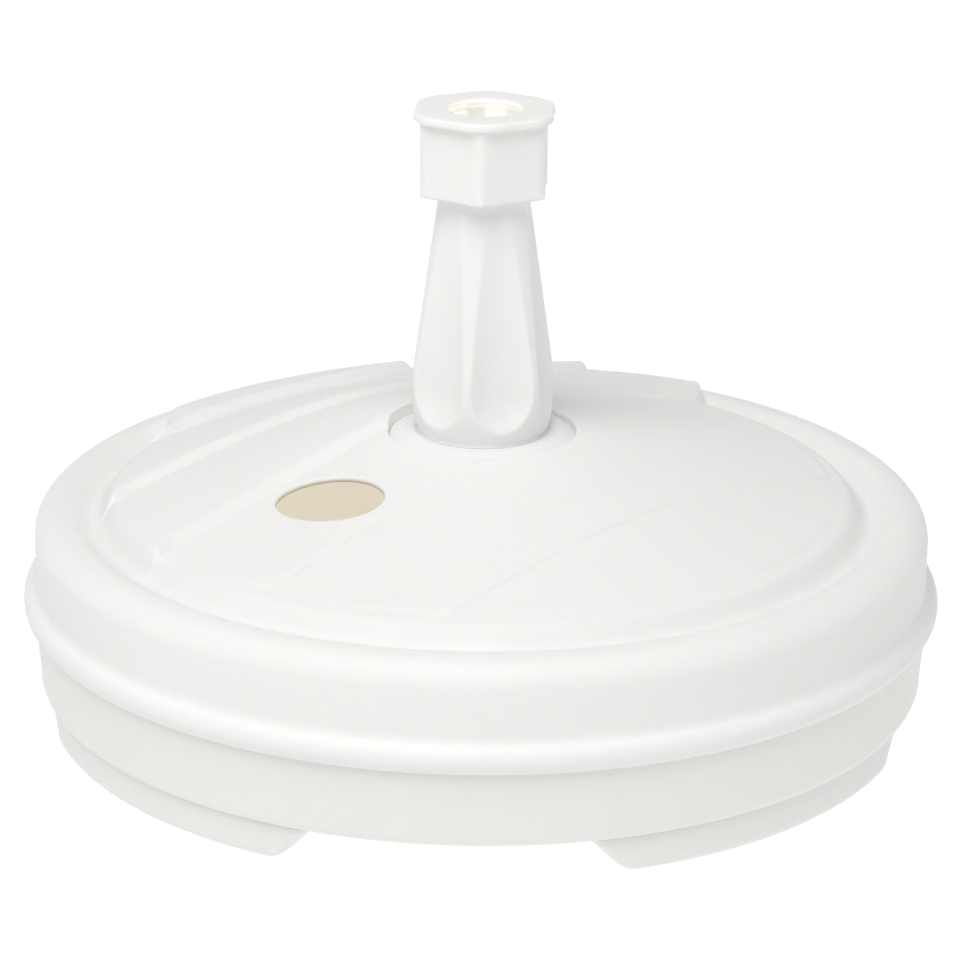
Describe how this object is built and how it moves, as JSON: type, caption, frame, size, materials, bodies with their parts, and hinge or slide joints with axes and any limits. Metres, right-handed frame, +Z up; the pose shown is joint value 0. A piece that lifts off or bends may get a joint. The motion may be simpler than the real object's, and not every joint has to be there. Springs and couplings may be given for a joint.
{
  "type": "parasol base",
  "caption": "Round fillable parasol base: tank on feet, fluted socket post with a bayonet foot, and a screw nut that squeezes a split collet onto the pole.",
  "frame": {"origin": "on the ground, on the axis of the post", "axes": "+Z up along the post, the front is -Y, and +X is to the right seen from the front"},
  "size_m": [0.5, 0.5, 0.335],
  "materials": {
    "deck_plastic": "satin moulded white",
    "bowl_plastic": "satin moulded warm white",
    "post_plastic": "satin moulded white",
    "clamp_plastic": "plain moulded off-white",
    "seal_rubber": "matt black"
  },
  "bodies": {
    "tank": {"lower_tank": "bowl_plastic", "deck": "deck_plastic", "upper_shell": "deck_plastic", "rim_seal": "seal_rubber", "column_seal": "seal_rubber", "socket_insert": "deck_plastic", "foot_front_right": "bowl_plastic", "foot_back_right": "bowl_plastic", "foot_back_left": "bowl_plastic", "foot_front_left": "bowl_plastic"},
    "tube": {"pole_tube": "clamp_plastic"},
    "post": {"socket_post": "post_plastic", "collet_ring": "clamp_plastic"},
    "finger_1": {"collet_finger_1": "clamp_plastic"},
    "finger_2": {"collet_finger_2": "clamp_plastic"},
    "finger_3": {"collet_finger_3": "clamp_plastic"},
    "finger_4": {"collet_finger_4": "clamp_plastic"},
    "finger_5": {"collet_finger_5": "clamp_plastic"},
    "finger_6": {"collet_finger_6": "clamp_plastic"},
    "press": {"thrust_ring": "clamp_plastic"},
    "nut": {"clamp_nut": "post_plastic"}
  },
  "joints": [
    {"name": "post_lift", "type": "slide", "parent": "tank", "child": "tube", "axis": [0, 0, 1], "range_m": [0, 0.14]},
    {"name": "post_twist", "type": "hinge", "parent": "tube", "child": "post", "pos_m": [0, 0, 0.158], "axis": [0, 0, 1], "range_deg": [-45, 0]},
    {"name": "ring_press", "type": "slide", "parent": "post", "child": "press", "axis": [0, 0, 1], "range_m": [-0.0041, 0.0021]},
    {"name": "nut_turn", "type": "hinge", "parent": "press", "child": "nut", "pos_m": [0, 0, 0.313], "axis": [0, 0, 1], "range_deg": [-360, 180]},
    {"name": "finger_1_flex", "type": "hinge", "parent": "post", "child": "finger_1", "pos_m": [0.00572, 0.01995, 0.3052], "axis": [-0.9613, 0.2756, 0], "range_deg": [-5.4, 2.7]},
    {"name": "finger_2_flex", "type": "hinge", "parent": "post", "child": "finger_2", "pos_m": [-0.01441, 0.01493, 0.3052], "axis": [-0.7193, -0.6947, 0], "range_deg": [-5.4, 2.7]},
    {"name": "finger_3_flex", "type": "hinge", "parent": "post", "child": "finger_3", "pos_m": [-0.02013, -0.00502, 0.3052], "axis": [0.2419, -0.9703, 0], "range_deg": [-5.4, 2.7]},
    {"name": "finger_4_flex", "type": "hinge", "parent": "post", "child": "finger_4", "pos_m": [-0.00572, -0.01995, 0.3052], "axis": [0.9613, -0.2756, 0], "range_deg": [-5.4, 2.7]},
    {"name": "finger_5_flex", "type": "hinge", "parent": "post", "child": "finger_5", "pos_m": [0.01441, -0.01493, 0.3052], "axis": [0.7193, 0.6947, 0], "range_deg": [-5.4, 2.7]},
    {"name": "finger_6_flex", "type": "hinge", "parent": "post", "child": "finger_6", "pos_m": [0.02013, 0.00502, 0.3052], "axis": [-0.2419, 0.9703, 0], "range_deg": [-5.4, 2.7]}
  ],
  "couplings": [
    {"joint": "ring_press", "follows": "nut_turn", "m_per_rad": 0.00063662},
    {"joint": "finger_1_flex", "follows": "nut_turn", "ratio": 0.01469},
    {"joint": "finger_2_flex", "follows": "nut_turn", "ratio": 0.01469},
    {"joint": "finger_3_flex", "follows": "nut_turn", "ratio": 0.01469},
    {"joint": "finger_4_flex", "follows": "nut_turn", "ratio": 0.01469},
    {"joint": "finger_5_flex", "follows": "nut_turn", "ratio": 0.01469},
    {"joint": "finger_6_flex", "follows": "nut_turn", "ratio": 0.01469}
  ]
}
